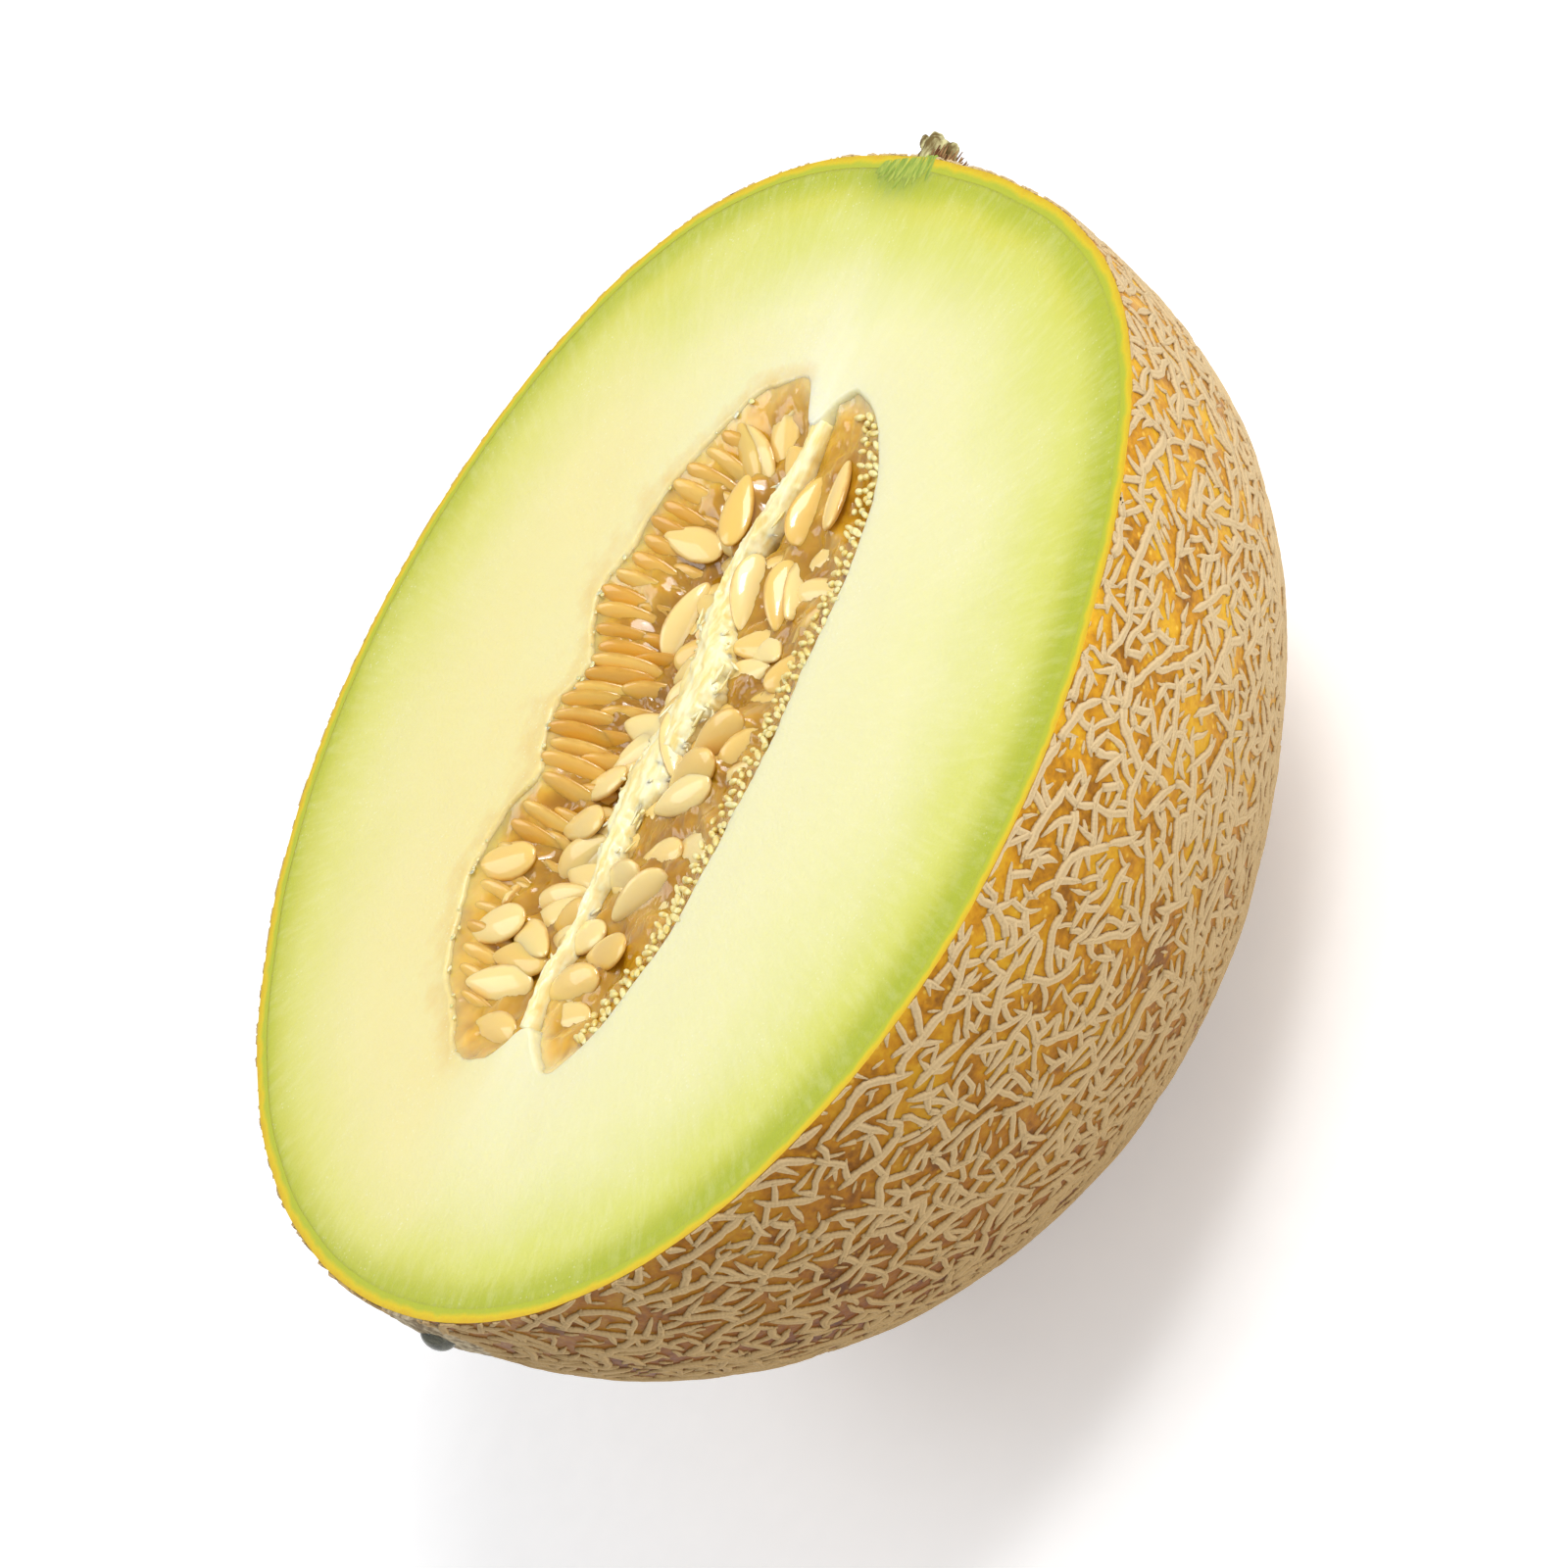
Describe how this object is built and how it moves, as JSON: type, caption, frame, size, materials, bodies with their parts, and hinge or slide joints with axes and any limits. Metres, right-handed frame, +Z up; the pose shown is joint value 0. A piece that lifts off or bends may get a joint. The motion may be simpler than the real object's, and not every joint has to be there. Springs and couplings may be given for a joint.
{
  "type": "galia melon half",
  "caption": "Netted melon cut lengthwise, resting on its rind with the cut face up, showing pale green flesh, a seed cavity with a central strand, and a dry stalk stub.",
  "frame": {"origin": "middle of the small flat spot on the rind that the half rests on", "axes": "+X towards the stem end along the fruit's length, +Z up, out of the cut face, +Y across"},
  "size_m": [0.1618, 0.1478, 0.072],
  "materials": {
    "rind": "amber yellow skin under a raised net of dry tan cork",
    "flesh": "moist cut flesh, green at the rind and cream at the cavity",
    "seeds_in_jelly": "cream amber seeds in wet amber jelly",
    "stalk": "dry, brown and frayed at its foot, green where it enters the flesh"
  },
  "bodies": {
    "root": {"rind": "rind", "flesh": "flesh", "seeds_far": "seeds_in_jelly", "seeds_near": "seeds_in_jelly", "stalk": "stalk"}
  },
  "joints": []
}
